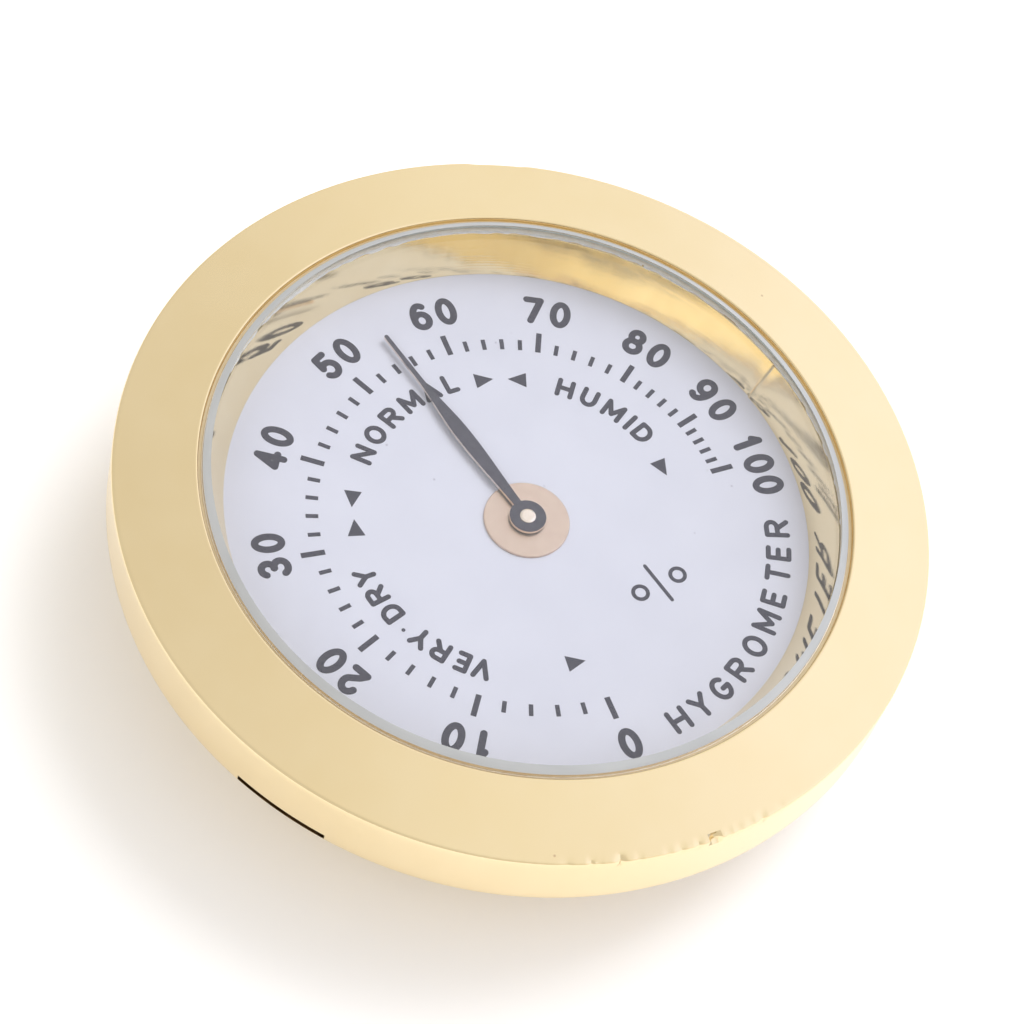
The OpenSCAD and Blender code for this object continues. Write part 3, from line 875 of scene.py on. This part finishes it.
def pen_line(work, points, pen, place, lift):
    """One stroke of a round-ended pen as a thin raised strip. A path that meets its start becomes a ring."""
    points = [Vector(p) for p in points]
    closed = (points[0] - points[-1]).length < 1e-6
    if closed:
        points = points[:-1]
    count = len(points)
    left, right = [], []
    for i, point in enumerate(points):
        before = points[i - 1] if closed or i else points[i]
        after = points[(i + 1) % count] if closed or i < count - 1 else points[i]
        along = (after - before).normalized()
        side = Vector((-along.y, along.x)) * pen / 2
        left.append(point + side)
        right.append(point - side)
    low, high = DIAL_Z, DIAL_Z + PRINT_T + lift
    if closed:
        for i in range(count):
            j = (i + 1) % count
            plate(work, [left[j], left[i], right[i], right[j]], low, high, place)
        return

    def cap(end, before):
        way = (end - before).normalized()
        start = math.atan2(way.y, way.x) - math.pi / 2
        turns = [start + math.pi * k / 8 for k in range(1, 8)]
        return [end + Vector((math.cos(a), math.sin(a))) * pen / 2 for a in turns]

    outline = right + cap(points[-1], points[-2]) + left[::-1] + cap(points[0], points[1])
    plate(work, outline, low, high, place)


def glyph(work, letter, radius, angle, height, width, pen, inwards=False):
    """One letter or figure, its middle at a radius and clock angle. Its top points outwards, or inwards."""
    place = on_dial(radius, angle, 180 if inwards else 0)
    wide, tall = width - pen, height - pen
    for k, stroke in enumerate(STROKES[letter]):
        points = [((x - 0.5) * wide, (y - 0.5) * tall) for x, y in stroke]
        pen_line(work, points, pen, place, 0.0006 * k)


LETTER_WIDTHS = {"I": 0.0, "L": 0.76, "E": 0.80, "M": 1.18, "O": 1.08, "G": 1.04, "U": 0.98, "T": 0.92}
FIGURE_PEN = 0.33
LETTER_PEN = 0.235


def figures(work, text, angle, radius=11.85, spacing=6.3):
    """A number, its figures side by side round the dial."""
    start = angle - spacing * (len(text) - 1) / 2
    for i, figure in enumerate(text):
        wide = 0.70 if figure == "1" else 1.0
        glyph(work, figure, radius, start + i * spacing, 1.54, wide, FIGURE_PEN)


def words(work, letters, radius, height, width, inwards=False):
    """Letters at their own clock angles."""
    for letter, angle in letters:
        wide = max(LETTER_PEN, width * LETTER_WIDTHS.get(letter, 1.0))
        glyph(work, letter, radius, angle, height, wide, LETTER_PEN, inwards)


def round_outline(radius, steps):
    turns = [2 * math.pi * i / steps for i in range(steps)]
    return [(radius * math.cos(a), radius * math.sin(a)) for a in turns]


def ring_outline(work, radius, angle, size, stroke):
    """A small open ring, for the percent sign."""
    steps = 28
    place = on_dial(radius, angle)
    outer = round_outline(size, steps)
    inner = [((size - stroke) * x / size, (size - stroke) * y / size) for x, y in outer]
    for i in range(steps):
        j = (i + 1) % steps
        plate(work, [outer[i], outer[j], inner[j], inner[i]], DIAL_Z, DIAL_Z + PRINT_T, place)


def make_print():
    """The scale, the figures, the words, the percent sign and the arrowheads, all as thin raised ink."""
    work = bmesh.new()
    scale_marks(work)
    for percent, angle in ((10, 260.15), (20, 290.75), (30, 322.15), (40, 350.05)):
        figures(work, str(percent), angle - 360)
    for percent, angle in ((50, 19.15), (60, 45.65), (70, 72.45), (80, 96.95), (90, 116.65)):
        figures(work, str(percent), angle)
    figures(work, "100", 135.65, spacing=5.8)
    figures(work, "0", 224.95 - 360)
    dry = [
        ("V", -98.25), ("E", -92.05), ("R", -84.35), ("Y", -77.05),
        ("D", -64.85), ("R", -57.35), ("Y", -50.05),
    ]
    words(work, dry, 8.15, 1.05, 0.84)
    word_dot(work, 8.35, -71.45)
    normal = [("N", -2.65), ("O", 6.35), ("R", 15.45), ("M", 25.05), ("A", 33.15), ("L", 40.85)]
    words(work, normal, 7.95, 1.05, 0.88)
    humid = [("H", 81.45), ("U", 90.35), ("M", 99.85), ("I", 106.95), ("D", 112.85)]
    words(work, humid, 7.74, 1.05, 0.86)
    title = [
        ("H", 212.25), ("Y", 205.85), ("G", 199.25), ("R", 192.55), ("O", 185.35),
        ("M", 178.15), ("E", 171.75), ("T", 165.05), ("E", 159.65), ("R", 153.05),
    ]
    words(work, title, 11.7, 1.2, 0.94, inwards=True)
    ring_outline(work, 6.11, 189.45, 0.43, 0.18)
    ring_outline(work, 7.23, 174.35, 0.43, 0.18)
    slash(work)
    for radius, angle, way in (
        (7.77, 52.55, 1), (7.75, 64.75, -1), (7.92, -20.45, -1),
        (7.84, -31.95, 1), (7.32, 127.65, 1), (7.46, -129.35, -1),
    ):
        triangle(work, radius, angle, way)
    bmesh.ops.recalc_face_normals(work, faces=work.faces)
    made = from_bmesh("dial_print", work)
    dress(made, PRINT_GREY)
    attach(made, "case")


def word_dot(work, radius, angle):
    """The small dot between the two words."""
    plate(work, round_outline(0.09, 16), DIAL_Z, DIAL_Z + PRINT_T, on_dial(radius, angle))


def slash(work):
    """The percent sign's stroke."""
    place = on_dial(6.57, 181.05)
    lean = Matrix.Rotation(math.radians(-30), 4, "Z")
    pen_line(work, [(0, -1.02), (0, 1.02)], 0.17, place @ lean, 0)


make_print()


# ------------------------------------------------------------- bush and pointer


def make_bush():
    corners = [
        (0.42, -0.30, 0.01, 0),
        (1.55, -0.30, 0.06, 0),
        (1.55, 0.05, 0, 0),
        (1.2, 0.05, 0, 0),
        (1.2, DIAL_Z, 0, 0),
        (BUSH_R, DIAL_Z, 0, 0),
        (BUSH_R, BUSH_HIGH, 0.05, 0),
        (0.42, BUSH_HIGH, 0.03, 0),
    ]
    bush = turned("front_bush", corners, True, 160, centre=(DIAL_X, DIAL_Y))
    dress(bush, ROSE_BRASS)
    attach(bush, "case")
    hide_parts("dial_bush")


def blade_half_width(s):
    """Half the blade's width at a distance from the arbor: slim neck, belly, needle end."""
    if s < 4.9:
        return 0.19 + 0.18 * smooth_step(s / 4.9)
    if s < 8.8:
        return 0.37 - 0.25 * smooth_step((s - 4.9) / 3.9)
    return 0.12 - 0.02 * (s - 8.8) / (POINTER_LENGTH - 8.8)


def make_pointer():
    """One stamped outline: a ring round the arbor and the blade, with softened upper edges."""
    ring_r = 0.84
    reach = 0.62
    side = [(reach + (POINTER_LENGTH - 0.06 - reach) * i / 60) for i in range(61)]
    join = math.asin(blade_half_width(ring_r) / ring_r)
    outline = []
    for s in side:
        if s > ring_r * math.cos(join):
            outline.append((s, -blade_half_width(s)))
    outline += [(POINTER_LENGTH, -0.05), (POINTER_LENGTH, 0.05)]
    outline += [(s, blade_half_width(s)) for s in reversed(side) if s > ring_r * math.cos(join)]
    steps = 64
    for i in range(steps + 1):
        a = join + (2 * math.pi - 2 * join) * i / steps
        outline.append((ring_r * math.cos(a), ring_r * math.sin(a)))
    hole = [(x, -y) for x, y in round_outline(ARBOR_R, 48)]
    curve = bpy.data.curves.new("pointer_outline", "CURVE")
    curve.dimensions = "2D"
    curve.fill_mode = "BOTH"
    for loop in (outline, hole):
        spline = curve.splines.new("POLY")
        spline.points.add(len(loop) - 1)
        for point, (x, y) in zip(spline.points, loop):
            point.co = (x, y, 0, 1)
        spline.use_cyclic_u = True
    thick = POINTER_HIGH - POINTER_LOW
    curve.extrude = thick / 2
    holder = bpy.data.objects.new("pointer_outline", curve)
    bpy.context.scene.collection.objects.link(holder)
    bpy.context.view_layer.update()
    evaluated = holder.evaluated_get(bpy.context.evaluated_depsgraph_get())
    work = bmesh.new()
    work.from_mesh(evaluated.to_mesh())
    evaluated.to_mesh_clear()
    bpy.data.objects.remove(holder)
    bmesh.ops.remove_doubles(work, verts=work.verts, dist=1e-4)
    turn = Matrix.Translation((DIAL_X, DIAL_Y, (POINTER_LOW + POINTER_HIGH) / 2)) @ Matrix.Rotation(
        clock(POINTER_REST), 4, "Z"
    )
    bmesh.ops.transform(work, matrix=turn, verts=work.verts)
    for face in work.faces:
        face.material_index = 0 if abs(face.normal.z) > 0.5 else 1
    pointer = from_bmesh("pointer_blade", work)
    dress(pointer, POINTER_GREY, CREAM_BRASS)
    bevel(pointer, 0.018)
    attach(pointer, "pointer_unit")
    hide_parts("pointer")


def make_arbor():
    """The arbor with its polished domed end, its collar and its slim rear pivot."""
    low = low_z("arbor")
    corners = [
        (0, low, 0, 0),
        (0.22, low, 0.05, 0),
        (0.22, -3.4, 0, 0),
        (ARBOR_R, -3.4, 0.03, 0),
        (ARBOR_R, -0.7, 0, 0),
        (0.8, -0.7, 0.03, 0),
        (0.8, -0.45, 0.03, 0),
        (ARBOR_R, -0.45, 0, 0),
        (ARBOR_R, ARBOR_HIGH - 0.05, 0.03, 0),
        (0.27, ARBOR_HIGH - 0.01, 0.05, 0),
        (0, ARBOR_HIGH, 0, 0),
    ]
    arbor = turned("arbor_stem", corners, False, 96, centre=(DIAL_X, DIAL_Y))
    dress(arbor, CREAM_BRASS)
    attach(arbor, "pointer_unit")
    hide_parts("arbor")


make_bush()
make_pointer()
make_arbor()


# ------------------------------------------------------------- the CAD's own pieces

CAD_LOOKS = {
    "case_cup": CASE_GOLD,
    "dial_plate": DIAL_WHITE,
    "base_plate": PLATE_BRASS,
    "bridge_pillars": PLATE_BRASS,
    "bridge": PLATE_BRASS,
    "bridge_screws": STEEL,
    "rear_bush": PLATE_BRASS,
    "friction_washer": STEEL,
    "retaining_clip": STEEL,
    "calibration_lever": PLATE_BRASS,
    "adjuster_stud": STEEL,
    "coil_stud": STEEL,
    "humidity_coil": COIL_STRIP,
    "coil_collet": PLATE_BRASS,
    "back_cover": CASE_GOLD,
    "vent_gauze": STEEL,
}
SOFT_EDGES = {
    "case_cup": 0.08,
    "back_cover": 0.06,
    "adjuster_stud": 0.05,
    "calibration_lever": 0.04,
    "bridge": 0.04,
}
for node, material in CAD_LOOKS.items():
    dress(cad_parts[node], material)
for node, width in SOFT_EDGES.items():
    bevel(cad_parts[node], width)
